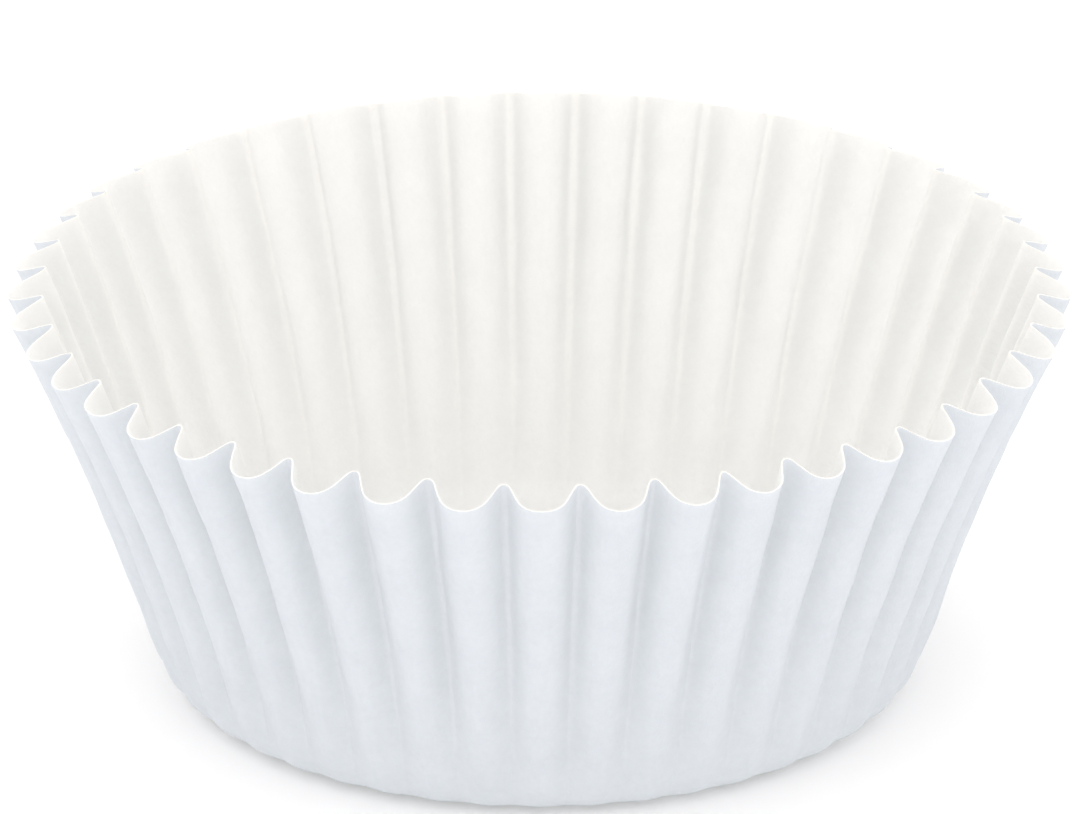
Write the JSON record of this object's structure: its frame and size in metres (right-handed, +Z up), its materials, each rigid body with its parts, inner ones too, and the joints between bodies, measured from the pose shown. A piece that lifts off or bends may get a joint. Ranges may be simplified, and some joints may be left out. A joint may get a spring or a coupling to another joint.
{
  "type": "cupcake liner",
  "caption": "Pleated paper baking cup with a flat round bottom and a flared wall of rounded ridges, which lines a hollow of a cupcake tin.",
  "frame": {"origin": "centre of the flat bottom's underside, where the cup stands", "axes": "+Z up through the open mouth; +X and +Y lie in the bottom, and a ridge of the wall runs up near each"},
  "size_m": [0.0715, 0.0715, 0.0279],
  "materials": {
    "greaseproof_paper": "matt white greaseproof paper, uncoated, slightly translucent"
  },
  "bodies": {
    "root": {"pleated_cup": "greaseproof_paper"}
  },
  "joints": []
}
